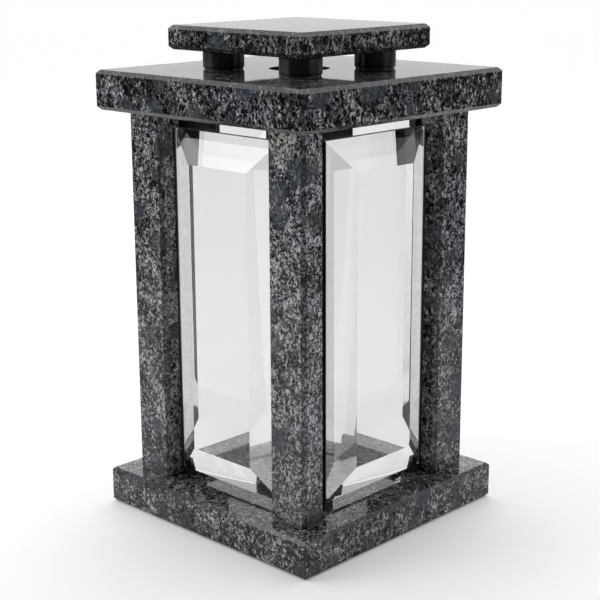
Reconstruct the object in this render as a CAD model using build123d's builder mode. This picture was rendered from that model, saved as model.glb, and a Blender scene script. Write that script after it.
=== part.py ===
from build123d import *

import os

# Memorial lantern in polished stone: a base plate, four stone posts, four bevelled glass
# panes between the posts, and a lid that lifts straight off to reach the candle.
# Frame: +Z up, -Y the front, origin at the centre of the base plate's underside.
# All lengths are in millimetres.

# ---- plates ----
base_size = 180.0             # side of the square base plate
base_thickness = 24.0
top_overhang = 0.5            # how far the top plate reaches past the base plate all round
top_thickness = 25.0
roof_size = 116.0             # side of the small raised roof plate
roof_thickness = 15.0
plate_arris = 2.5             # chamfer round the upper and lower faces of the top and roof plates
base_arris = 2.0
corner_arris = 0.8            # chamfer down the plates' upright corners

# ---- posts ----
post_width = 30.0             # the broad side of a post
post_depth = 18.0             # the narrow side of a post
post_height = 239.5
post_inset = 13.5             # from the base plate's edge to a post's outer face
post_arris = 2.5              # chamfer along a post's four long edges
post_end_arris = 1.2          # chamfer round a post's two ends

# ---- glass ----
pane_thickness = 12.0
pane_edge = 3.5               # what the bevel leaves of the thickness at the pane's rim
bevel_width = 20.0            # width of the sloping band round the pane's outer face
pane_back_inset = 2.0         # a pane's inner face stands this far outside the posts' backs
air_gap_below = 4.8           # between the base plate and the panes
air_gap_above = 10.0          # between the panes and the top plate
seal_gap = 0.8                # thickness of the black seal at a pane's upright edges
seal_depth = 5.0              # how far a seal reaches outwards from the pane's inner face
block_length = 8.0            # rubber block that carries a pane's lower corner
strip_headroom = 1.0          # between a closing strip's top and the lid
foot_angle_grip = 4.0         # how far the black foot angles reach behind a pane's edge
foot_angle_wall = 4.0
foot_angle_height = 14.0

# ---- roof and vent ----
vent_diameter = 36.0          # hole in the middle of the top plate
vent_arris = 1.2
standoff_diameter = 26.0
standoff_height = 12.25
standoff_inset = 24.5         # from the roof plate's edge to a stand-off's axis
standoff_arris = 0.6

# ---- lid locators ----
locator_height = 13.0
locator_wall = 4.0
locator_legs = {              # each corner's leg along X and leg along Y
    "front_left": (42.0, 36.0),
    "front_right": (30.0, 44.0),
    "rear_right": (13.0, 13.0),
    "rear_left": (13.0, 13.0),
}
locator_clearance = 0.7       # between a locator and the posts, strips and panes round it

# ---- steel dowels ----
post_dowel_diameter = 8.0
post_dowel_in_base = 15.0
post_dowel_in_post = 22.0
roof_dowel_diameter = 6.0
roof_dowel_in_plate = 9.0     # depth in the top plate, and in the roof plate
dowel_clearance = 0.15        # round each dowel, filled with resin
dowel_end_clearance = 0.5

# ---- heights ----
base_top = base_thickness
lid_bottom = base_top + post_height
lid_top = lid_bottom + top_thickness
roof_bottom = lid_top + standoff_height
pane_bottom = base_top + air_gap_below
pane_top = lid_bottom - air_gap_above
pane_height = pane_top - pane_bottom
pane_middle = (pane_top + pane_bottom) / 2

# ---- plan positions ----
top_size = base_size + 2 * top_overhang         # side of the plate that carries the roof
standoff_spacing = roof_size - 2 * standoff_inset
post_face = base_size / 2 - post_inset          # outer faces of the posts
post_back = post_face - post_depth              # back of a post's narrow direction
post_side = post_face - post_width              # far side of a post's broad direction
pane_back = post_back + pane_back_inset         # inner faces of the panes
pane_width = 2 * (post_side - seal_gap)         # all four panes are cut alike
pane_half = pane_width / 2

# Each side of the lantern has a plane on its pane's inner face: x runs to the right as
# seen from outside, y is up, z points outwards. The reach on the left and on the right
# is the distance from the middle to the post there.
sides = {
    "front": (Plane((0, -pane_back, 0), (1, 0, 0), (0, -1, 0)), post_side, post_side),
    "right": (Plane((pane_back, 0, 0), (0, 1, 0), (1, 0, 0)), post_back, post_side),
    "rear": (Plane((0, pane_back, 0), (-1, 0, 0), (0, 1, 0)), post_back, post_back),
    "left": (Plane((-pane_back, 0, 0), (0, -1, 0), (-1, 0, 0)), post_side, post_back),
}

# The front posts turn their broad side to the front, the rear posts to the left and right.
posts = {
    "post_front_left": (-1, -1, post_width, post_depth),
    "post_front_right": (1, -1, post_width, post_depth),
    "post_rear_right": (1, 1, post_depth, post_width),
    "post_rear_left": (-1, 1, post_depth, post_width),
}

# The four inner corners between the panes.
corners = {
    "front_left": (-1, -1),
    "front_right": (1, -1),
    "rear_right": (1, 1),
    "rear_left": (-1, 1),
}

os.makedirs("parts", exist_ok=True)


def save(piece, name):
    """Label a finished piece and write its STEP file."""
    piece.part.label = name
    export_step(piece.part, f"parts/{name}.step")


def slab(size, thickness, level, arris):
    """A square stone plate from the level upwards, its edges chamfered."""
    with BuildPart() as plate:
        with BuildSketch(Plane.XY.offset(level)):
            Rectangle(size, size)
        extrude(amount=thickness)
        chamfer(plate.faces().filter_by(Axis.Z).edges(), length=arris)
        chamfer(plate.edges().filter_by(Axis.Z), length=corner_arris)
    return plate.part


def post_centre(post):
    """Plan position of a post's axis."""
    across, along, size_x, size_y = post
    return (across * (post_face - size_x / 2), along * (post_face - size_y / 2))


def angle_piece(signs, reach, leg_x, leg_y, wall, level, height):
    """An upright angle piece whose outer corner is at the reach along X and along Y."""
    across, along = signs
    with BuildPart() as angle:
        with BuildSketch(Plane.XY.offset(level)):
            with BuildLine():
                Polyline(
                    (across * reach, along * reach),
                    (across * (reach - leg_x), along * reach),
                    (across * (reach - leg_x), along * (reach - wall)),
                    (across * (reach - wall), along * (reach - wall)),
                    (across * (reach - wall), along * (reach - leg_y)),
                    (across * reach, along * (reach - leg_y)),
                    close=True,
                )
            make_face()
        extrude(amount=height)
    return angle


def side_box(plane, left, right, low, high, thickness):
    """A bar that stands out from one side's plane, from left to right and from low to high."""
    with BuildPart() as bar:
        with BuildSketch(plane):
            with Locations(((left + right) / 2, (low + high) / 2)):
                Rectangle(right - left, high - low)
        extrude(amount=thickness)
    return bar.part


post_axes = [post_centre(post) for post in posts.values()]

# ---- base plate, with a blind hole under each post ----
with BuildPart() as base_plate:
    add(slab(base_size, base_thickness, 0, base_arris))
    with Locations(*[Vector(x, y, base_top) for x, y in post_axes]):
        Hole(post_dowel_diameter / 2 + dowel_clearance, depth=post_dowel_in_base + dowel_end_clearance)
save(base_plate, "base_plate")

# ---- posts ----
for post_name, post in posts.items():
    with BuildPart() as stone_post:
        with BuildSketch(Plane.XY.offset(base_top)):
            with Locations(post_centre(post)):
                Rectangle(post[2], post[3])
        extrude(amount=post_height)
        chamfer(stone_post.edges().filter_by(Axis.Z), length=post_arris)
        ends = stone_post.faces().filter_by(Axis.Z)
        chamfer(ends.edges(), length=post_end_arris)
        with BuildSketch(Plane.XY.offset(base_top)):
            with Locations(post_centre(post)):
                Circle(post_dowel_diameter / 2 + dowel_clearance)
        extrude(amount=post_dowel_in_post + dowel_end_clearance, mode=Mode.SUBTRACT)
    save(stone_post, post_name)

# ---- steel dowels between the base plate and the posts ----
with BuildPart() as post_dowels:
    with BuildSketch(Plane.XY.offset(base_top - post_dowel_in_base)):
        with Locations(*post_axes):
            Circle(post_dowel_diameter / 2)
    extrude(amount=post_dowel_in_base + post_dowel_in_post)
save(post_dowels, "post_dowels")

# ---- panes, with their joints, blocks and closing strips ----
for side_name, (plane, reach_left, reach_right) in sides.items():
    middle_up = plane.origin + Vector(0, 0, pane_middle)
    seat = Plane(middle_up, plane.x_dir, plane.z_dir)

    # the rim has straight edges, and the bevel rises from it to the flat middle
    with BuildPart() as pane:
        with BuildSketch(seat):
            Rectangle(pane_width, pane_height)
        extrude(amount=pane_edge)
        with BuildSketch(seat.offset(pane_edge)):
            Rectangle(pane_width, pane_height)
        with BuildSketch(seat.offset(pane_thickness)):
            Rectangle(pane_width - 2 * bevel_width, pane_height - 2 * bevel_width)
        loft()
    save(pane, f"pane_{side_name}")

    # seals along the upright edges, standing out between the bevels and the posts
    with BuildPart() as seals:
        for outer_end in (-pane_half - seal_gap, pane_half):
            add(side_box(plane, outer_end, outer_end + seal_gap, pane_bottom, pane_top, seal_depth))
    save(seals, f"seals_{side_name}")

    # rubber blocks under the lower corners, reaching in to the foot angles
    block_plane = plane.offset(-pane_back_inset)
    with BuildPart() as blocks:
        for block_start in (-pane_half, pane_half - block_length):
            add(side_box(block_plane, block_start, block_start + block_length,
                         base_top, pane_bottom, pane_back_inset + pane_edge))
    save(blocks, f"setting_blocks_{side_name}")

    # a closing strip wherever a post stands further off than the pane's edge
    for end_name, reach, direction in (("left", reach_left, -1), ("right", reach_right, 1)):
        strip_width = reach - pane_half - seal_gap
        if strip_width > seal_gap:
            inner_end = direction * (pane_half + seal_gap)
            outer_end = direction * reach
            with BuildPart() as strip:
                add(side_box(plane, min(inner_end, outer_end), max(inner_end, outer_end),
                             base_top, lid_bottom - strip_headroom, pane_edge))
            save(strip, f"strip_{side_name}_{end_name}")

# ---- top plate, with the vent and the holes for the roof's dowels ----
with BuildPart() as top_plate:
    add(slab(top_size, top_thickness, lid_bottom, plate_arris))
    with BuildSketch(Plane.XY.offset(lid_bottom)):
        Circle(vent_diameter / 2)
    extrude(amount=top_thickness, mode=Mode.SUBTRACT)
    chamfer(top_plate.edges().filter_by(GeomType.CIRCLE), length=vent_arris)
    with BuildSketch(Plane.XY.offset(lid_top)):
        with GridLocations(standoff_spacing, standoff_spacing, 2, 2):
            Circle(roof_dowel_diameter / 2 + dowel_clearance)
    extrude(amount=-(roof_dowel_in_plate + dowel_end_clearance), mode=Mode.SUBTRACT)
save(top_plate, "top_plate")

# ---- roof plate ----
with BuildPart() as roof_plate:
    add(slab(roof_size, roof_thickness, roof_bottom, plate_arris))
    with BuildSketch(Plane.XY.offset(roof_bottom)):
        with GridLocations(standoff_spacing, standoff_spacing, 2, 2):
            Circle(roof_dowel_diameter / 2 + dowel_clearance)
    extrude(amount=roof_dowel_in_plate + dowel_end_clearance, mode=Mode.SUBTRACT)
save(roof_plate, "roof_plate")

# ---- stand-offs between the top plate and the roof, each bored for its dowel ----
for corner, (across, along) in corners.items():
    standoff_centre = (across * standoff_spacing / 2, along * standoff_spacing / 2)
    with BuildPart() as standoff:
        with BuildSketch(Plane.XY.offset(lid_top)):
            with Locations(standoff_centre):
                Circle(standoff_diameter / 2)
        extrude(amount=standoff_height)
        chamfer(standoff.edges().filter_by(GeomType.CIRCLE), length=standoff_arris)
        with BuildSketch(Plane.XY.offset(lid_top)):
            with Locations(standoff_centre):
                Circle(roof_dowel_diameter / 2 + dowel_clearance)
        extrude(amount=standoff_height, mode=Mode.SUBTRACT)
    save(standoff, f"standoff_{corner}")

with BuildPart() as roof_dowels:
    with BuildSketch(Plane.XY.offset(lid_top - roof_dowel_in_plate)):
        with GridLocations(standoff_spacing, standoff_spacing, 2, 2):
            Circle(roof_dowel_diameter / 2)
    extrude(amount=2 * roof_dowel_in_plate + standoff_height)
save(roof_dowels, "roof_dowels")

# ---- angle pieces on the base plate: the rubber blocks bear on them, behind the panes ----
foot_angle_leg = post_back - pane_half + foot_angle_grip
for corner, signs in corners.items():
    foot_angle = angle_piece(signs, post_back, foot_angle_leg, foot_angle_leg,
                             foot_angle_wall, base_top, foot_angle_height)
    save(foot_angle, f"foot_angle_{corner}")

# ---- angle pieces under the top plate that centre the lid ----
# The front ones bear on the backs of the front posts, the rear ones on the rear posts.
locator_reach = post_back - locator_clearance
for corner, signs in corners.items():
    leg_across, leg_along = locator_legs[corner]
    locator = angle_piece(signs, locator_reach, leg_across, leg_along,
                          locator_wall, lid_bottom, -locator_height)
    save(locator, f"lid_locator_{corner}")
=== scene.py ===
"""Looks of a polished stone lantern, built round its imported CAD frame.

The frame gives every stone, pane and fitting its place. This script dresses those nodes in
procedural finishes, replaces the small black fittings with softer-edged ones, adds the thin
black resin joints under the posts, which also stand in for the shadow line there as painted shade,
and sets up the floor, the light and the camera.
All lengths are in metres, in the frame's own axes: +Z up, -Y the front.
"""

import logging
import math
from dataclasses import dataclass, field
from enum import Enum

import bmesh
import bpy
from mathutils import Matrix, Vector


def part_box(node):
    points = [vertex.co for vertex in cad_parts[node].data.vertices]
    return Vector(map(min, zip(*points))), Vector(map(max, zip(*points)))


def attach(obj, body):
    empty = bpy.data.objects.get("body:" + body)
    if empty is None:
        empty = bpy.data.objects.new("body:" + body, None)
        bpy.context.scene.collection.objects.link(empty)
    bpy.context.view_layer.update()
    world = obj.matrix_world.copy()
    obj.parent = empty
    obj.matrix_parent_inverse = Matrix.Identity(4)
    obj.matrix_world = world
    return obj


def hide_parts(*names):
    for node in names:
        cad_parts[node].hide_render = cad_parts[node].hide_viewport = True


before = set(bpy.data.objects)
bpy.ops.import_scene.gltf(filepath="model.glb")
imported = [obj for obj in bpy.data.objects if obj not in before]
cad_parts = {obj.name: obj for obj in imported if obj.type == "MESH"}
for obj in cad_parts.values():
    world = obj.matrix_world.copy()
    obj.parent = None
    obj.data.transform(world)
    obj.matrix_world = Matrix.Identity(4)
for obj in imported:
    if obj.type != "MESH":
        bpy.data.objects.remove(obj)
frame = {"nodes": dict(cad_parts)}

MM = 0.001
log = logging.getLogger("stone_lantern")

Socket = bpy.types.NodeSocket
Colour = tuple[float, float, float]


class Side(Enum):
    """The four sides of the lantern, each with its outward direction."""

    FRONT = (0.0, -1.0)
    RIGHT = (1.0, 0.0)
    REAR = (0.0, 1.0)
    LEFT = (-1.0, 0.0)

    @property
    def node(self) -> str:
        """The side's name as the CAD nodes spell it."""
        return self.name.lower()

    @property
    def outward(self) -> Vector:
        """Unit vector out of the lantern on this side."""
        return Vector((self.value[0], self.value[1], 0.0))

    @property
    def along(self) -> Vector:
        """Unit vector to the right as seen from outside."""
        return Vector((-self.value[1], self.value[0], 0.0))


class Corner(Enum):
    """The four upright corners, each with its signs along X and Y."""

    FRONT_LEFT = (-1, -1)
    FRONT_RIGHT = (1, -1)
    REAR_RIGHT = (1, 1)
    REAR_LEFT = (-1, 1)

    @property
    def node(self) -> str:
        """The corner's name as the CAD nodes spell it."""
        return self.name.lower()


class Body(Enum):
    """The CAD bodies that the pieces ride on."""

    BASE = "base"
    LID = "lid"


# ---------------------------------------------------------------- node graphs


class Graph:
    """Short-hand for laying nodes into a material, world or group."""

    def __init__(self, tree: bpy.types.NodeTree) -> None:
        """Keeps the tree to build in.

        Args:
            tree: the node tree that the nodes go into.
        """
        self.tree = tree

    def node(
        self, kind: str, inputs: dict[str | int, object] | None = None, **settings: object
    ) -> bpy.types.Node:
        """Adds one node and fills its sockets.

        Args:
            kind: the node's Blender type name.
            inputs: socket name or index to a value, or to an output socket to link.
            **settings: attributes of the node itself.

        Returns:
            The new node.
        """
        made = self.tree.nodes.new(kind)
        for name, value in settings.items():
            setattr(made, name, value)
        for key, value in (inputs or {}).items():
            if isinstance(value, Socket):
                self.tree.links.new(value, made.inputs[key])
            else:
                made.inputs[key].default_value = value
        return made

    def math(self, operation: str, *values: float | Socket, clamp: bool = False) -> Socket:
        """One Math node.

        Args:
            operation: Blender's name of the operation.
            *values: its operands, as numbers or sockets.
            clamp: keeps the result between 0 and 1.

        Returns:
            The node's output socket.
        """
        made = self.node("ShaderNodeMath", dict(enumerate(values)), operation=operation, use_clamp=clamp)
        return made.outputs[0]

    def vector_math(self, operation: str, *values: object) -> Socket:
        """One Vector Math node, giving its vector.

        Args:
            operation: Blender's name of the operation.
            *values: its operands, as tuples or sockets.

        Returns:
            The node's vector output socket.
        """
        made = self.node("ShaderNodeVectorMath", dict(enumerate(values)), operation=operation)
        return made.outputs["Vector"]

    def ramp(self, factor: Socket, low: float, high: float, smooth: bool = True) -> Socket:
        """Maps a value from low..high to 0..1.

        Args:
            factor: the value to map.
            low: what becomes 0.
            high: what becomes 1.
            smooth: eases both ends.

        Returns:
            The mapped value.
        """
        inputs = {"Value": factor, "From Min": low, "From Max": high}
        kind = "SMOOTHSTEP" if smooth else "LINEAR"
        return self.node("ShaderNodeMapRange", inputs, interpolation_type=kind, clamp=True).outputs["Result"]

    def mix(self, factor: float | Socket, first: object, second: object, blend: str = "MIX") -> Socket:
        """Mixes two colours.

        Args:
            factor: the share of the second colour.
            first: a colour or socket.
            second: a colour or socket.
            blend: Blender's name of the blend.

        Returns:
            The mixed colour.
        """
        made = self.node("ShaderNodeMix", data_type="RGBA", blend_type=blend)
        for index, value in ((0, factor), (6, first), (7, second)):
            if isinstance(value, Socket):
                self.tree.links.new(value, made.inputs[index])
            elif index:
                made.inputs[index].default_value = (*value, 1.0)
            else:
                made.inputs[index].default_value = value
        return made.outputs[2]

    def noise(
        self, vector: Socket, scale: float | Socket, detail: float = 3.0, roughness: float = 0.55
    ) -> bpy.types.Node:
        """One Noise Texture node.

        Args:
            vector: where it is read.
            scale: its scale.
            detail: its octaves.
            roughness: how strong the finer octaves are.

        Returns:
            The node, with outputs Fac and Color.
        """
        inputs = {"Vector": vector, "Scale": scale, "Detail": detail, "Roughness": roughness}
        return self.node("ShaderNodeTexNoise", inputs)

    def cells(self, vector: Socket, scale: float | Socket, feature: str = "F1") -> bpy.types.Node:
        """One Voronoi Texture node.

        Args:
            vector: where it is read.
            scale: its scale.
            feature: Blender's name of the feature.

        Returns:
            The node, with outputs Distance and, for F1, Color.
        """
        return self.node("ShaderNodeTexVoronoi", {"Vector": vector, "Scale": scale}, feature=feature)


@dataclass(frozen=True)
class GroupSocket:
    """One named input or output of a node group."""

    name: str
    kind: str
    default: object = None


class EffectGroup:
    """A shader node group that is built once and placed in several materials."""

    title: str = ""
    inputs: tuple[GroupSocket, ...] = ()
    outputs: tuple[GroupSocket, ...] = ()

    @classmethod
    def tree(cls) -> bpy.types.NodeTree:
        """Returns the group's tree, building it the first time."""
        found = bpy.data.node_groups.get(cls.title)
        if found is not None:
            return found
        made = bpy.data.node_groups.new(cls.title, "ShaderNodeTree")
        for direction, sockets in (("INPUT", cls.inputs), ("OUTPUT", cls.outputs)):
            for wanted in sockets:
                socket = made.interface.new_socket(wanted.name, in_out=direction, socket_type=wanted.kind)
                if wanted.default is not None:
                    socket.default_value = wanted.default
        graph = Graph(made)
        entry = graph.node("NodeGroupInput")
        results = cls.build(graph, {s.name: entry.outputs[s.name] for s in cls.inputs})
        graph.node("NodeGroupOutput", results)
        return made

    @classmethod
    def build(cls, graph: Graph, given: dict[str, Socket]) -> dict[str, Socket]:
        """Lays the group's nodes.

        Args:
            graph: the group's graph.
            given: the group's inputs by name.

        Returns:
            The group's outputs by name.
        """
        raise NotImplementedError

    @classmethod
    def place(cls, graph: Graph, **values: object) -> dict[str, Socket]:
        """Places the group in a material.

        Args:
            graph: the material's graph.
            **values: input values, named with underscores for spaces.

        Returns:
            The placed node's outputs by name.
        """
        made = graph.node("ShaderNodeGroup", node_tree=cls.tree())
        for name, value in values.items():
            socket = made.inputs[name.replace("_", " ")]
            if isinstance(value, Socket):
                graph.tree.links.new(value, socket)
            else:
                socket.default_value = value
        return {s.name: made.outputs[s.name] for s in cls.outputs}


FLOAT = "NodeSocketFloat"
VECTOR = "NodeSocketVector"
COLOUR = "NodeSocketColor"


class GraniteGrain(EffectGroup):
    """Interlocking black, grey and pale mineral grains with larger smooth crystals."""

    # grains, waves and crystals are counted per millimetre
    foliation = (1.0, 1.0, 0.78)
    warp_waves = 0.55
    warp_reach = 3.6
    fine_cells = 0.80
    coarse_cells = 0.34
    fleck_waves = 1.3
    drift_waves = 0.055
    region_waves = 0.032
    crystal_cells = 0.066
    crystal_ragged = (9.0, 9.0, 9.0)
    # what each pattern adds to the tone, and the tones where grey and pale begin and are full
    fine_part, coarse_part, fleck_part, drift_part, seam_part = 0.46, 0.18, 0.60, 0.40, 0.10
    grey_from, grey_full = 0.78, 0.88
    pale_from, pale_full = 0.94, 1.12
    # area tints, and the two ends of the crystals' own tint
    bluish, olive = (0.97, 0.99, 1.05), (1.03, 1.01, 0.94)
    crystal_blue, crystal_olive = (0.78, 0.92, 1.12), (1.16, 1.10, 0.84)

    title = "granite_grain"
    inputs = (
        GroupSocket("Vector", VECTOR),
        GroupSocket("Offset", VECTOR, (0.0, 0.0, 0.0)),
        GroupSocket("Grain", FLOAT, 1.0),
        GroupSocket("Pale Share", FLOAT, 0.5),
        GroupSocket("Crystal Share", FLOAT, 0.3),
        GroupSocket("Black", COLOUR, (0.006, 0.006, 0.008, 1.0)),
        GroupSocket("Grey", COLOUR, (0.10, 0.105, 0.115, 1.0)),
        GroupSocket("Pale", COLOUR, (0.42, 0.43, 0.43, 1.0)),
        GroupSocket("Crystal", COLOUR, (0.075, 0.085, 0.10, 1.0)),
    )
    outputs = (
        GroupSocket("Color", COLOUR),
        GroupSocket("Grain Mask", FLOAT),
        GroupSocket("Crystal Mask", FLOAT),
    )

    @classmethod
    def build(cls, graph: Graph, given: dict[str, Socket]) -> dict[str, Socket]:
        """Lays the grain: warped cells for the minerals, broad noise for their mix."""
        millimetres = graph.vector_math("SCALE", given["Vector"])
        millimetres.node.inputs["Scale"].default_value = 1.0 / MM
        place = graph.vector_math("ADD", millimetres, given["Offset"])
        # the grains lean and stretch a little, as they do in a foliated stone
        stretched = graph.vector_math("MULTIPLY", place, cls.foliation)
        warp = graph.noise(stretched, cls.warp_waves, 2.0, 0.6).outputs["Color"]
        centred = graph.vector_math("SUBTRACT", warp, (0.5, 0.5, 0.5))
        pushed = graph.vector_math("SCALE", centred)
        pushed.node.inputs["Scale"].default_value = cls.warp_reach
        warped = graph.vector_math("ADD", stretched, pushed)
        fine_scale = graph.math("DIVIDE", cls.fine_cells, given["Grain"])
        coarse_scale = graph.math("DIVIDE", cls.coarse_cells, given["Grain"])
        fine = graph.cells(warped, fine_scale)
        coarse = graph.cells(warped, coarse_scale)
        rims = graph.cells(warped, fine_scale, "DISTANCE_TO_EDGE").outputs["Distance"]
        fine_tone = graph.node("ShaderNodeSeparateColor", {"Color": fine.outputs["Color"]}).outputs[0]
        coarse_tone = graph.node("ShaderNodeSeparateColor", {"Color": coarse.outputs["Color"]}).outputs[1]
        flecks = graph.noise(warped, cls.fleck_waves, 4.0, 0.75).outputs["Fac"]
        drift = graph.noise(place, cls.drift_waves, 2.0, 0.5).outputs["Fac"]
        seam = graph.ramp(rims, 0.16, 0.02)
        tone = graph.math("MULTIPLY", fine_tone, cls.fine_part)
        tone = graph.math("MULTIPLY_ADD", coarse_tone, cls.coarse_part, tone)
        tone = graph.math("MULTIPLY_ADD", flecks, cls.fleck_part, tone)
        tone = graph.math("MULTIPLY_ADD", drift, cls.drift_part, tone)
        tone = graph.math("MULTIPLY_ADD", seam, cls.seam_part, tone)
        # the pale share moves the grains up or down from the middle of that sum
        shift = graph.math("SUBTRACT", given["Pale Share"], 0.5)
        tone = graph.math("ADD", tone, shift)
        grey_mask = graph.ramp(tone, cls.grey_from, cls.grey_full)
        pale_mask = graph.ramp(tone, cls.pale_from, cls.pale_full)
        colour = graph.mix(grey_mask, given["Black"], given["Grey"])
        colour = graph.mix(pale_mask, colour, given["Pale"])
        # whole areas lean towards olive or towards blue
        region = graph.noise(place, cls.region_waves, 1.0, 0.5).outputs["Fac"]
        lean = graph.mix(graph.ramp(region, 0.40, 0.62), cls.bluish, cls.olive)
        colour = graph.mix(1.0, colour, lean, "MULTIPLY")
        # broad crystals, smooth inside, with a broken edge
        ragged = graph.noise(place, 0.35, 3.0, 0.6).outputs["Color"]
        ragged = graph.vector_math("SUBTRACT", ragged, (0.5, 0.5, 0.5))
        ragged = graph.vector_math("MULTIPLY", ragged, cls.crystal_ragged)
        crystal_place = graph.vector_math("ADD", place, ragged)
        crystals = graph.cells(crystal_place, cls.crystal_cells)
        lottery = graph.node("ShaderNodeSeparateColor", {"Color": crystals.outputs["Color"]})
        chosen = graph.math("LESS_THAN", lottery.outputs[2], given["Crystal Share"])
        inside = graph.ramp(crystals.outputs["Distance"], 0.56, 0.44)
        crystal_mask = graph.math("MULTIPLY", chosen, inside)
        veil = graph.ramp(flecks, 0.36, 0.66)
        veiled = graph.math("MULTIPLY_ADD", veil, -0.50, 0.95)
        crystal_mask = graph.math("MULTIPLY", crystal_mask, veiled)
        tint = graph.mix(lottery.outputs[0], cls.crystal_blue, cls.crystal_olive)
        crystal_colour = graph.mix(1.0, given["Crystal"], tint, "MULTIPLY")
        colour = graph.mix(crystal_mask, colour, crystal_colour)
        return {"Color": colour, "Grain Mask": pale_mask, "Crystal Mask": crystal_mask}


class HandPolish(EffectGroup):
    """Faint waviness and wiping marks that any polished or moulded face has."""

    title = "hand_polish"
    inputs = (
        GroupSocket("Vector", VECTOR),
        GroupSocket("Base Roughness", FLOAT, 0.05),
        GroupSocket("Spread", FLOAT, 0.03),
        GroupSocket("Mark Size", FLOAT, 20.0),
    )
    outputs = (GroupSocket("Roughness", FLOAT), GroupSocket("Height", FLOAT))

    @classmethod
    def build(cls, graph: Graph, given: dict[str, Socket]) -> dict[str, Socket]:
        """Lays broad noise for the marks and finer noise for the surface."""
        scale = graph.math("DIVIDE", 1.0 / MM, given["Mark Size"])
        broad = graph.noise(given["Vector"], scale, 3.0, 0.5).outputs["Fac"]
        fine = graph.noise(given["Vector"], graph.math("MULTIPLY", scale, 9.0), 2.0, 0.5).outputs["Fac"]
        mark = graph.ramp(broad, 0.38, 0.68)
        roughness = graph.math("MULTIPLY_ADD", mark, given["Spread"], given["Base Roughness"])
        height = graph.math("MULTIPLY_ADD", fine, 0.2, broad)
        return {"Roughness": roughness, "Height": height}


class ArrisMask(EffectGroup):
    """Finds the narrow sloping faces along a stone's edges."""

    title = "arris_mask"
    inputs = (GroupSocket("Normal", VECTOR),)
    outputs = (GroupSocket("Mask", FLOAT),)

    @classmethod
    def build(cls, graph: Graph, given: dict[str, Socket]) -> dict[str, Socket]:
        """Compares the normal's longest share with a square face's."""
        size = graph.vector_math("ABSOLUTE", given["Normal"])
        parts = graph.node("ShaderNodeSeparateXYZ", {"Vector": size}).outputs
        longest = graph.math("MAXIMUM", graph.math("MAXIMUM", parts[0], parts[1]), parts[2])
        return {"Mask": graph.ramp(longest, 0.95, 0.85)}


# ---------------------------------------------------------------- finishes


@dataclass(frozen=True)
class Finish:
    """A named finish that makes one Blender material."""

    name: str

    def material(self) -> bpy.types.Material:
        """Returns the finish's material, building it the first time."""
        found = bpy.data.materials.get(self.name)
        if found is not None:
            return found
        made = bpy.data.materials.new(self.name)
        made.use_nodes = True
        graph = Graph(made.node_tree)
        self.shade(graph, made.node_tree.nodes["Principled BSDF"])
        return made

    def shade(self, graph: Graph, shader: bpy.types.Node) -> None:
        """Lays the finish's nodes.

        Args:
            graph: the material's graph.
            shader: its Principled BSDF.
        """
        raise NotImplementedError

    def dress(self, *pieces: bpy.types.Object) -> None:
        """Puts the finish on whole pieces.

        Args:
            *pieces: the objects that take it.
        """
        for piece in pieces:
            slots = piece.data.materials
            if not slots:
                slots.append(self.material())
            for index in range(len(slots)):
                slots[index] = self.material()


def bump(
    graph: Graph, shader: bpy.types.Node, height: Socket, distance: float, strength: float = 1.0
) -> None:
    """Feeds a height into a shader's normal.

    Args:
        graph: the material's graph.
        shader: its Principled BSDF.
        height: the height, from 0 to 1.
        distance: what a height of 1 measures.
        strength: the share of it that shows.
    """
    made = graph.node("ShaderNodeBump", {"Height": height, "Distance": distance, "Strength": strength})
    graph.tree.links.new(made.outputs["Normal"], shader.inputs["Normal"])


@dataclass(frozen=True)
class PolishedGranite(Finish):
    """Dark blue-grey granite, mirror polished."""

    offset: tuple[float, float, float] = (0.0, 0.0, 0.0)
    grain: float = 0.9
    pale_share: float = 0.5
    crystal_share: float = 0.3
    roughness: float = 0.025
    roughness_spread: float = 0.02
    black: Colour = (0.0015, 0.0015, 0.0020)
    grey: Colour = (0.070, 0.072, 0.078)
    pale: Colour = (0.48, 0.48, 0.48)
    crystal: Colour = (0.045, 0.050, 0.060)
    # painted shade: the dark colour laid on the arrises, and how much of it is laid
    arris: Colour = (0.022, 0.023, 0.025)
    painted_arris_shade_share: float = 0.55
    arris_dulling: float = 0.04

    def shade(self, graph: Graph, shader: bpy.types.Node) -> None:
        """Lays grain, polish, and painted shade that darkens the arrises, which are also slightly duller."""
        where = graph.node("ShaderNodeTexCoord")
        stone = GraniteGrain.place(
            graph, Vector=where.outputs["Object"], Offset=self.offset, Grain=self.grain,
            Pale_Share=self.pale_share, Crystal_Share=self.crystal_share,
            Black=(*self.black, 1.0), Grey=(*self.grey, 1.0), Pale=(*self.pale, 1.0),
            Crystal=(*self.crystal, 1.0),
        )
        polish = HandPolish.place(
            graph, Vector=where.outputs["Object"], Base_Roughness=self.roughness,
            Spread=self.roughness_spread, Mark_Size=14.0,
        )
        arris = ArrisMask.place(graph, Normal=where.outputs["Normal"])["Mask"]
        # painted shade: the arrises' base colour is pulled towards a dark grey
        arris_painted_shade = graph.mix(graph.math("MULTIPLY", arris, self.painted_arris_shade_share), stone["Color"], self.arris)
        graph.tree.links.new(arris_painted_shade, shader.inputs["Base Color"])
        dulled = graph.math("MULTIPLY_ADD", arris, self.arris_dulling, polish["Roughness"])
        graph.tree.links.new(dulled, shader.inputs["Roughness"])
        shader.inputs["IOR"].default_value = 1.50
        shader.inputs["Specular IOR Level"].default_value = 0.36
        bump(graph, shader, polish["Height"], 0.000008)


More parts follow.
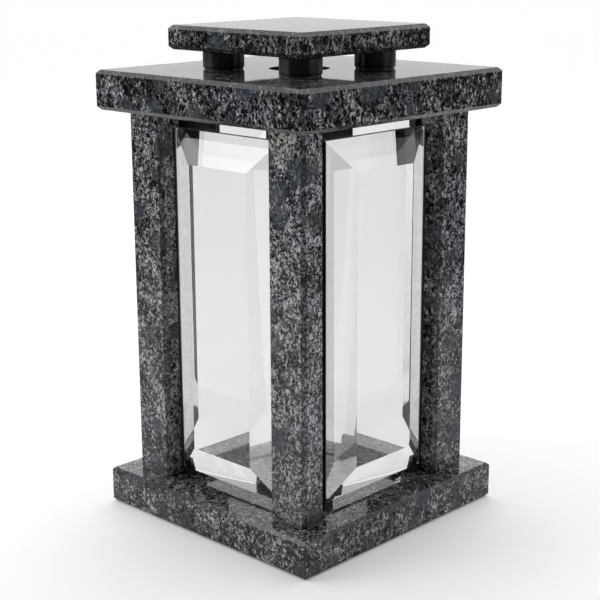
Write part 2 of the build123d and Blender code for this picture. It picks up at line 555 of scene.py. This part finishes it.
@dataclass(frozen=True)
class BevelledGlass(Finish):
    """Thick clear plate glass with a ground green rim."""

    outward: tuple[float, float, float] = (0.0, -1.0, 0.0)
    tint: Colour = (0.862, 0.866, 0.857)
    rim_tint: Colour = (0.30, 0.52, 0.44)

    def shade(self, graph: Graph, shader: bpy.types.Node) -> None:
        """Lays clear glass whose rim, which faces sideways, is ground and green."""
        where = graph.node("ShaderNodeTexCoord")
        facing = graph.node(
            "ShaderNodeVectorMath", {0: where.outputs["Normal"], 1: self.outward}, operation="DOT_PRODUCT"
        ).outputs["Value"]
        rim = graph.ramp(graph.math("ABSOLUTE", facing), 0.30, 0.10)
        polish = HandPolish.place(
            graph, Vector=where.outputs["Object"], Base_Roughness=0.0, Spread=0.004, Mark_Size=30.0
        )
        graph.tree.links.new(graph.mix(rim, self.tint, self.rim_tint), shader.inputs["Base Color"])
        graph.tree.links.new(
            graph.math("MULTIPLY_ADD", rim, 0.35, polish["Roughness"]), shader.inputs["Roughness"]
        )
        shader.inputs["IOR"].default_value = 1.51
        shader.inputs["Transmission Weight"].default_value = 1.0
        bump(graph, shader, polish["Height"], 0.000004)


@dataclass(frozen=True)
class BlackFitting(Finish):
    """Black moulded or painted fittings, satin to matt."""

    colour: Colour = (0.006, 0.006, 0.007)
    light_colour: Colour = (0.014, 0.014, 0.016)
    roughness: float = 0.26
    spread: float = 0.14
    texture_height: float = 0.00003
    grain_mm: float = 0.45

    def shade(self, graph: Graph, shader: bpy.types.Node) -> None:
        """Lays a fine moulded grain under faint handling marks."""
        where = graph.node("ShaderNodeTexCoord").outputs["Object"]
        polish = HandPolish.place(
            graph, Vector=where, Base_Roughness=self.roughness, Spread=self.spread, Mark_Size=9.0
        )
        grain = graph.noise(where, 1.0 / (self.grain_mm * MM), 3.0, 0.6).outputs["Fac"]
        patches = graph.ramp(polish["Height"], 0.45, 0.80)
        graph.tree.links.new(graph.mix(patches, self.colour, self.light_colour), shader.inputs["Base Color"])
        graph.tree.links.new(polish["Roughness"], shader.inputs["Roughness"])
        bump(graph, shader, grain, self.texture_height)


@dataclass(frozen=True)
class BrushedSteel(Finish):
    """Plain stainless rod, hidden inside the stones."""

    colour: Colour = (0.55, 0.56, 0.58)

    def shade(self, graph: Graph, shader: bpy.types.Node) -> None:
        """Lays fine rings round the rod."""
        where = graph.node("ShaderNodeTexCoord").outputs["Object"]
        stretched = graph.vector_math("MULTIPLY", where, (40.0, 40.0, 6000.0))
        rings = graph.noise(stretched, 1.0, 2.0, 0.5).outputs["Fac"]
        graph.tree.links.new(
            graph.mix(rings, tuple(0.8 * c for c in self.colour), self.colour), shader.inputs["Base Color"]
        )
        graph.tree.links.new(graph.math("MULTIPLY_ADD", rings, 0.2, 0.22), shader.inputs["Roughness"])
        shader.inputs["Metallic"].default_value = 1.0
        bump(graph, shader, rings, 0.00001)


SATIN_BLACK = BlackFitting("satin_black")
SEAL_BLACK = BlackFitting(
    "seal_black", colour=(0.010, 0.010, 0.011), light_colour=(0.022, 0.022, 0.024),
    roughness=0.38, spread=0.16, texture_height=0.00004,
)
RUBBER_BLACK = BlackFitting(
    "rubber_black", colour=(0.014, 0.014, 0.014), light_colour=(0.028, 0.027, 0.027),
    roughness=0.62, spread=0.20, texture_height=0.00006, grain_mm=0.7,
)
# black for the joints at the posts' feet, which also stand in for the shadow line there as painted shade
RESIN_AND_SHADE_BLACK = BlackFitting(
    "resin_and_shade_black", colour=(0.008, 0.008, 0.009), light_colour=(0.018, 0.018, 0.020),
    roughness=0.22, spread=0.22, texture_height=0.00002,
)
STEEL = BrushedSteel("stainless_rod")


# ---------------------------------------------------------------- mesh helpers


def mesh_piece(name: str, shape: bmesh.types.BMesh, body: Body) -> bpy.types.Object:
    """Turns a bmesh into a piece that rides on a CAD body.

    Args:
        name: the piece's name.
        shape: its mesh, in the frame's axes; it is freed.
        body: the body that it rides on.

    Returns:
        The new object.
    """
    bmesh.ops.recalc_face_normals(shape, faces=shape.faces)
    data = bpy.data.meshes.new(name)
    shape.to_mesh(data)
    shape.free()
    made = bpy.data.objects.new(name, data)
    bpy.context.scene.collection.objects.link(made)
    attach(made, body.value)
    return made


def add_prism(shape: bmesh.types.BMesh, outline: list[Vector], rise: Vector) -> list[bmesh.types.BMEdge]:
    """Adds a closed prism to a mesh.

    Args:
        shape: the mesh to add to.
        outline: the corners of its first end, in order.
        rise: from the first end to the second.

    Returns:
        The prism's edges.
    """
    start = [shape.verts.new(point) for point in outline]
    end = [shape.verts.new(point + rise) for point in outline]
    shape.faces.new(start)
    shape.faces.new(list(reversed(end)))
    count = len(outline)
    for index in range(count):
        after = (index + 1) % count
        shape.faces.new((start[index], end[index], end[after], start[after]))
    corners = set(start + end)
    return [edge for edge in shape.edges if edge.verts[0] in corners and edge.verts[1] in corners]


def round_edges(
    shape: bmesh.types.BMesh, edges: list[bmesh.types.BMEdge], radius: float, steps: int = 3
) -> None:
    """Rounds edges and smooths the faces that this makes.

    Args:
        shape: the mesh.
        edges: the edges to round.
        radius: their radius.
        steps: the facets in each rounding.
    """
    made = bmesh.ops.bevel(
        shape, geom=edges, offset=radius, offset_type="OFFSET", segments=steps,
        profile=0.5, affect="EDGES", clamp_overlap=True,
    )
    for face in made["faces"]:
        face.smooth = True


def split_islands(low: Vector, high: Vector, across: Vector, width: float) -> list[tuple[float, float]]:
    """Gives the two end stretches of a node that has one solid at each end.

    Args:
        low: the node's lowest corner.
        high: the node's highest corner.
        across: the direction from one solid to the other.
        width: each solid's width in that direction.

    Returns:
        The start and end of each stretch along that direction.
    """
    ends = sorted((low.dot(across), high.dot(across)))
    return [(ends[0], ends[0] + width), (ends[1] - width, ends[1])]


# ---------------------------------------------------------------- sub-assemblies


@dataclass
class Stonework:
    """The stone plates and posts, which keep their CAD shapes."""

    plate_grain: float = 0.90
    post_grain: float = 0.82
    finishes: dict[str, PolishedGranite] = field(default_factory=dict)

    def __post_init__(self) -> None:
        """Gives each stone its own cut of the same granite."""
        plate, post = self.plate_grain, self.post_grain
        self.finishes = {
            "base_plate": PolishedGranite("granite_base", (310.0, 40.0, 12.0), plate, 0.50, 0.22),
            "top_plate": PolishedGranite("granite_top", (20.0, 170.0, 400.0), plate, 0.46, 0.32),
            "roof_plate": PolishedGranite("granite_roof", (530.0, 260.0, 90.0), plate, 0.47, 0.20),
            "post_front_left": PolishedGranite("granite_post_a", (75.0, 610.0, 33.0), post, 0.53, 0.30),
            "post_front_right": PolishedGranite("granite_post_b", (220.0, 15.0, 700.0), post, 0.55, 0.30),
            "post_rear_right": PolishedGranite("granite_post_c", (640.0, 480.0, 210.0), post, 0.51, 0.26),
            "post_rear_left": PolishedGranite("granite_post_d", (130.0, 350.0, 550.0), post, 0.52, 0.26),
        }

    def dress(self, nodes: dict[str, bpy.types.Object]) -> int:
        """Puts the granite on the stones.

        Args:
            nodes: the CAD nodes by name.

        Returns:
            How many stones were dressed.
        """
        for name, finish in self.finishes.items():
            finish.dress(nodes[name])
        return len(self.finishes)


@dataclass
class Glazing:
    """The four bevelled panes, their edge seals, rubber blocks and closing strips."""

    seal_width: float = 0.8 * MM
    lip_depth: float = 1.1 * MM
    lip_round: float = 0.28 * MM
    block_length: float = 8.0 * MM
    block_round: float = 0.7 * MM
    strip_round: float = 0.5 * MM
    strips: tuple[str, ...] = ("strip_right_left", "strip_rear_left", "strip_rear_right", "strip_left_right")

    def seals(self, side: Side) -> bpy.types.Object:
        """Builds the two upright seals of one pane, each with a rounded outer lip.

        Args:
            side: the pane's side.

        Returns:
            The seals as one piece.
        """
        node = f"seals_{side.node}"
        low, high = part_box(node)
        height = Vector((0.0, 0.0, high.z - low.z))
        depths = sorted(abs(corner.dot(side.outward)) for corner in (low, high))
        shape = bmesh.new()
        for start, end in split_islands(low, high, side.along, self.seal_width):
            outline = [
                side.along * u + side.outward * w + Vector((0.0, 0.0, low.z))
                for u, w in ((start, depths[0]), (end, depths[0]), (end, depths[1]), (start, depths[1]))
            ]
            edges = add_prism(shape, outline, height)
            lip = [
                edge for edge in edges
                if all(vertex.co.dot(side.outward) > depths[1] - self.lip_depth for vertex in edge.verts)
            ]
            round_edges(shape, lip, self.lip_round)
        made = mesh_piece(f"edge_seals_{side.node}", shape, Body.BASE)
        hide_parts(node)
        SEAL_BLACK.dress(made)
        return made

    def blocks(self, side: Side) -> bpy.types.Object:
        """Builds the two rubber blocks under one pane.

        Args:
            side: the pane's side.

        Returns:
            The blocks as one piece.
        """
        node = f"setting_blocks_{side.node}"
        low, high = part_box(node)
        depths = sorted(abs(corner.dot(side.outward)) for corner in (low, high))
        shape = bmesh.new()
        for start, end in split_islands(low, high, side.along, self.block_length):
            outline = [
                side.along * u + side.outward * w + Vector((0.0, 0.0, low.z))
                for u, w in ((start, depths[0]), (end, depths[0]), (end, depths[1]), (start, depths[1]))
            ]
            edges = add_prism(shape, outline, Vector((0.0, 0.0, high.z - low.z)))
            round_edges(shape, edges, self.block_round)
        made = mesh_piece(f"glass_blocks_{side.node}", shape, Body.BASE)
        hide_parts(node)
        RUBBER_BLACK.dress(made)
        return made

    def strip(self, node: str) -> bpy.types.Object:
        """Builds one closing strip beside a pane.

        Args:
            node: the CAD strip that it stands for.

        Returns:
            The strip.
        """
        low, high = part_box(node)
        shape = bmesh.new()
        plan = ((low.x, low.y), (high.x, low.y), (high.x, high.y), (low.x, high.y))
        outline = [Vector((x, y, low.z)) for x, y in plan]
        edges = add_prism(shape, outline, Vector((0.0, 0.0, high.z - low.z)))
        round_edges(shape, edges, self.strip_round)
        made = mesh_piece(f"closing_{node}", shape, Body.BASE)
        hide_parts(node)
        SATIN_BLACK.dress(made)
        return made

    def build(self, nodes: dict[str, bpy.types.Object]) -> int:
        """Dresses the panes and builds what holds them.

        Args:
            nodes: the CAD nodes by name.

        Returns:
            How many pieces the glazing has.
        """
        made = 0
        for side in Side:
            finish = BevelledGlass(f"glass_{side.node}", outward=tuple(side.outward))
            finish.dress(nodes[f"pane_{side.node}"])
            self.seals(side)
            self.blocks(side)
            made += 3
        for node in self.strips:
            self.strip(node)
            made += 1
        return made


@dataclass
class Fittings:
    """The black angle pieces, stand-offs and dowels."""

    edge_round: float = 0.6 * MM
    locator_wall: float = 4.0 * MM
    foot_wall: float = 4.0 * MM
    standoff_round: float = 0.9 * MM
    standoff_facets: int = 96
    rim_steps: int = 5
    pad_thickness: float = 0.9 * MM
    pad_inset: float = 0.7 * MM
    bore: float = 3.15 * MM

    def angle(self, node: str, corner: Corner, wall: float, body: Body) -> bpy.types.Object:
        """Builds an upright angle piece with rounded edges.

        Args:
            node: the CAD angle piece that it stands for.
            corner: the corner that its outer edge is in.
            wall: its thickness.
            body: the body that it rides on.

        Returns:
            The angle piece.
        """
        low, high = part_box(node)
        across, along = corner.value
        outer = Vector((high.x if across > 0 else low.x, high.y if along > 0 else low.y, low.z))
        inner = Vector((low.x if across > 0 else high.x, low.y if along > 0 else high.y, low.z))
        near = Vector((outer.x - across * wall, outer.y - along * wall, low.z))
        plan = [
            (outer.x, outer.y), (inner.x, outer.y), (inner.x, near.y),
            (near.x, near.y), (near.x, inner.y), (outer.x, inner.y),
        ]
        shape = bmesh.new()
        edges = add_prism(shape, [Vector((x, y, low.z)) for x, y in plan], Vector((0.0, 0.0, high.z - low.z)))
        round_edges(shape, edges, self.edge_round)
        made = mesh_piece(f"moulded_{node}", shape, body)
        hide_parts(node)
        SATIN_BLACK.dress(made)
        return made

    def standoff(self, corner: Corner) -> bpy.types.Object:
        """Builds one turned stand-off with rounded rims and a thin pad at each end.

        Args:
            corner: the corner that it stands in.

        Returns:
            The stand-off.
        """
        node = f"standoff_{corner.node}"
        low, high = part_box(node)
        centre = (low + high) / 2
        radius = (high.x - low.x) / 2
        pad = radius - self.pad_inset
        profile = [(self.bore, low.z), (pad, low.z), (pad, low.z + self.pad_thickness)]
        for level, turn in ((low.z + self.pad_thickness, -90.0), (high.z - self.pad_thickness, 0.0)):
            side = 1.0 if turn < 0 else -1.0
            for step in range(self.rim_steps + 1):
                angle = math.radians(turn + 90.0 * step / self.rim_steps)
                profile.append((
                    radius - self.standoff_round + self.standoff_round * math.cos(angle),
                    level + side * self.standoff_round + self.standoff_round * math.sin(angle),
                ))
        profile += [(pad, high.z - self.pad_thickness), (pad, high.z), (self.bore, high.z)]
        shape = bmesh.new()
        rings = []
        for index in range(self.standoff_facets):
            angle = 2 * math.pi * index / self.standoff_facets
            way = Vector((math.cos(angle), math.sin(angle), 0.0))
            rings.append([
                shape.verts.new(Vector((centre.x, centre.y, z)) + way * r) for r, z in profile
            ])
        for index, ring in enumerate(rings):
            after = rings[(index + 1) % len(rings)]
            for step in range(len(profile)):
                up = (step + 1) % len(profile)
                face = shape.faces.new((ring[step], after[step], after[up], ring[up]))
                face.smooth = 2 < step < len(profile) - 4
        made = mesh_piece(f"turned_{node}", shape, Body.LID)
        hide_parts(node)
        SATIN_BLACK.dress(made)
        return made

    def build(self, nodes: dict[str, bpy.types.Object]) -> int:
        """Builds the fittings and dresses the dowels.

        Args:
            nodes: the CAD nodes by name.

        Returns:
            How many pieces there are.
        """
        made = 0
        for corner in Corner:
            self.angle(f"foot_angle_{corner.node}", corner, self.foot_wall, Body.BASE)
            self.angle(f"lid_locator_{corner.node}", corner, self.locator_wall, Body.LID)
            self.standoff(corner)
            made += 3
        for name in ("post_dowels", "roof_dowels"):
            STEEL.dress(nodes[name])
            made += 1
        return made


@dataclass
class ResinJointsAndShade:
    """The thin black fillets that fill the arris round each post's foot: a resin joint, which also stands in
    for the thin shadow line there as painted shade.
    """

    fillet: float = 0.9 * MM
    tuck: float = 1.0 * MM
    root: float = 0.4 * MM
    post_arris: float = 2.5 * MM

    def joint(self, node: str) -> bpy.types.Object:
        """Builds one fillet round a post's foot.

        Args:
            node: the CAD post.

        Returns:
            The fillet.
        """
        low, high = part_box(node)
        cut = self.post_arris
        shape = bmesh.new()
        rings = []
        # the fillet's section: its root under the post, its toe, and its top on the post
        section = ((self.tuck + self.root, 0.0), (self.tuck - self.fillet, 0.0), (self.tuck, self.fillet))
        for inset, level in section:
            x0, x1, y0, y1 = low.x + inset, high.x - inset, low.y + inset, high.y - inset
            plan = [
                (x0 + cut, y0), (x1 - cut, y0), (x1, y0 + cut), (x1, y1 - cut),
                (x1 - cut, y1), (x0 + cut, y1), (x0, y1 - cut), (x0, y0 + cut),
            ]
            rings.append([shape.verts.new((x, y, low.z + level)) for x, y in plan])
        for number, here in enumerate(rings):
            there = rings[(number + 1) % len(rings)]
            for index in range(len(here)):
                after = (index + 1) % len(here)
                shape.faces.new((here[index], here[after], there[after], there[index]))
        made = mesh_piece(f"resin_joint_and_shade_{node}", shape, Body.BASE)
        RESIN_AND_SHADE_BLACK.dress(made)
        return made

    def build(self) -> int:
        """Builds the fillets.

        Returns:
            How many there are.
        """
        for corner in Corner:
            self.joint(f"post_{corner.node}")
        return len(Corner)


# ---------------------------------------------------------------- stage, light and camera


@dataclass(frozen=True)
class Softbox:
    """A square softbox that faces the middle of the lantern."""

    name: str
    place: tuple[float, float, float]
    power: float
    tint: Colour
    side: float = 0.8


@dataclass
class Studio:
    """A pale floor in soft light, bright behind the lantern and dimmer before it."""

    floor_half: float = 12.0
    floor_colour: Colour = (0.90, 0.90, 0.90)
    # painted reflection: the dark grey that the floor shows only to mirrored rays
    reflected_shade_colour: Colour = (0.05, 0.05, 0.055)
    floor_glow: float = 0.17
    # painted reflection: the distances from the middle over which that dark grey comes in
    reflected_shade_reach: tuple[float, float] = (0.15, 1.05)
    backdrop: float = 1.62
    low_backdrop: float = 0.85
    front: float = 0.11
    overhead: float = 0.40
    seen: float = 1.0
    floor_drop: float = 0.00002
    behind: tuple[float, float, float] = (-0.68, 0.70, 0.20)
    middle: tuple[float, float, float] = (0.0, 0.0, 0.15)
    softboxes: tuple[Softbox, ...] = (
        Softbox("key_light", (-0.85, -1.10, 0.80), 6.0, (1.0, 0.985, 0.96)),
        Softbox("fill_light", (1.25, 0.45, 0.60), 1.6, (1.0, 0.84, 1.0)),
    )

    def floor(self) -> bpy.types.Object:
        """Lays the floor just under the lantern.

        Returns:
            The floor.
        """
        shape = bmesh.new()
        corners = [(-1, -1), (1, -1), (1, 1), (-1, 1)]
        half = self.floor_half
        shape.faces.new([shape.verts.new((x * half, y * half, -self.floor_drop)) for x, y in corners])
        data = bpy.data.meshes.new("studio_floor")
        shape.to_mesh(data)
        shape.free()
        made = bpy.data.objects.new("studio_floor", data)
        bpy.context.scene.collection.objects.link(made)
        material = bpy.data.materials.new("floor_paper")
        material.use_nodes = True
        graph = Graph(material.node_tree)
        shader = material.node_tree.nodes["Principled BSDF"]
        where = graph.node("ShaderNodeTexCoord").outputs["Object"]
        fibre = graph.noise(where, 60.0, 3.0, 0.5).outputs["Fac"]
        tone = graph.mix(fibre, tuple(0.985 * c for c in self.floor_colour), self.floor_colour)
        # painted reflection: rays mirrored off polished faces see the floor turn dark grey with distance from
        # the middle, while the camera and rays through glass see the pale floor
        far = graph.node("ShaderNodeVectorMath", {0: where}, operation="LENGTH").outputs["Value"]
        beyond = graph.ramp(far, self.reflected_shade_reach[0], self.reflected_shade_reach[1])
        path = graph.node("ShaderNodeLightPath").outputs
        not_through_glass = graph.math("SUBTRACT", 1.0, path["Is Transmission Ray"])
        mirrored = graph.math("MULTIPLY", path["Is Glossy Ray"], not_through_glass)
        floor_with_painted_reflection = graph.mix(graph.math("MULTIPLY", mirrored, beyond), tone, self.reflected_shade_colour)
        graph.tree.links.new(floor_with_painted_reflection, shader.inputs["Base Color"])
        shader.inputs["Roughness"].default_value = 0.9
        shader.inputs["Specular IOR Level"].default_value = 0.1
        shader.inputs["Emission Color"].default_value = (1.0, 1.0, 1.0, 1.0)
        # the glow keeps the floor evenly bright for the camera and through glass; mirrored rays get none,
        # which deepens the painted reflection
        glow = graph.math("MULTIPLY", graph.math("SUBTRACT", 1.0, mirrored), self.floor_glow)
        graph.tree.links.new(glow, shader.inputs["Emission Strength"])
        data.materials.append(material)
        return made

    def sky(self) -> bpy.types.World:
        """Makes the surroundings: brighter behind, dimmer in front.

        Returns:
            The world.
        """
        world = bpy.data.worlds.new("studio_light")
        world.use_nodes = True
        bpy.context.scene.world = world
        graph = Graph(world.node_tree)
        way = graph.node("ShaderNodeTexCoord").outputs["Generated"]
        behind = graph.node(
            "ShaderNodeVectorMath", {0: way, 1: self.behind}, operation="DOT_PRODUCT"
        ).outputs["Value"]
        share = graph.ramp(behind, -0.25, 0.85)
        up = graph.node("ShaderNodeSeparateXYZ", {"Vector": way}).outputs[2]
        climb = graph.ramp(up, 0.10, 0.34)
        rear = graph.math("MULTIPLY_ADD", climb, self.backdrop - self.low_backdrop, self.low_backdrop)
        level = graph.math("MULTIPLY_ADD", share, graph.math("SUBTRACT", rear, self.front), self.front)
        above = graph.ramp(up, 0.45, 0.95)
        lifted = graph.math("MULTIPLY_ADD", above, self.overhead, level)
        straight = graph.node("ShaderNodeLightPath").outputs["Is Camera Ray"]
        seen = graph.node("ShaderNodeMix", {0: straight, 2: lifted, 3: self.seen}, data_type="FLOAT")
        background = world.node_tree.nodes["Background"]
        background.inputs["Color"].default_value = (1.0, 1.0, 1.0, 1.0)
        graph.tree.links.new(seen.outputs[0], background.inputs["Strength"])
        return world

    def hang(self, box: Softbox) -> None:
        """Hangs one softbox.

        Args:
            box: the softbox.
        """
        data = bpy.data.lights.new(box.name, "AREA")
        data.shape = "SQUARE"
        data.size = box.side
        data.energy = box.power
        data.color = box.tint
        made = bpy.data.objects.new(box.name, data)
        place = Vector(box.place)
        made.location = place
        made.rotation_mode = "QUATERNION"
        made.rotation_quaternion = (Vector(self.middle) - place).to_track_quat("-Z", "Y")
        bpy.context.scene.collection.objects.link(made)

    def build(self) -> None:
        """Lays the floor, makes the surroundings and hangs the softboxes."""
        self.floor()
        self.sky()
        for box in self.softboxes:
            self.hang(box)


@dataclass
class LanternCamera:
    """A camera a little above the lantern, on its front right corner."""

    azimuth: float = 44.01
    elevation: float = 14.32
    roll: float = -0.27
    distance: float = 0.90745
    target: tuple[float, float, float] = (0.0, 0.0, 0.14429)
    focal_mm: float = 83.514
    sensor_mm: float = 36.0
    shift: tuple[float, float] = (-0.00082, -0.01443)

    def build(self) -> bpy.types.Object:
        """Makes the camera and makes it the scene's.

        Returns:
            The camera.
        """
        turn, rise = math.radians(self.azimuth), math.radians(self.elevation)
        back = Vector((math.sin(turn) * math.cos(rise), -math.cos(turn) * math.cos(rise), math.sin(rise)))
        level = Vector((0.0, 0.0, 1.0)).cross(back).normalized()
        up = back.cross(level)
        lean = math.radians(self.roll)
        right = math.cos(lean) * level + math.sin(lean) * up
        top = -math.sin(lean) * level + math.cos(lean) * up
        data = bpy.data.cameras.new("lantern_camera")
        data.sensor_width = self.sensor_mm
        data.lens = self.focal_mm
        data.shift_x, data.shift_y = self.shift
        data.clip_start, data.clip_end = 0.01, 50.0
        made = bpy.data.objects.new("lantern_camera", data)
        place = Matrix((right, top, back)).transposed().to_4x4()
        place.translation = Vector(self.target) + back * self.distance
        made.matrix_world = place
        bpy.context.scene.collection.objects.link(made)
        bpy.context.scene.camera = made
        return made


# ---------------------------------------------------------------- main


def main() -> None:
    """Dresses the frame, builds the extra pieces and sets the stage."""
    logging.basicConfig(level=logging.INFO, format="%(name)s: %(message)s")
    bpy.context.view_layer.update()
    nodes = frame["nodes"]
    log.info("stonework: %d stones", Stonework().dress(nodes))
    log.info("glazing: %d pieces", Glazing().build(nodes))
    log.info("fittings: %d pieces", Fittings().build(nodes))
    log.info("resin joints: %d pieces", ResinJointsAndShade().build())
    Studio().build()
    log.info("studio: floor, surroundings and softboxes")
    LanternCamera().build()
    log.info("camera: set at the front right corner")
    bpy.context.scene.view_settings.view_transform = "Standard"


if __name__ == "__main__":
    main()
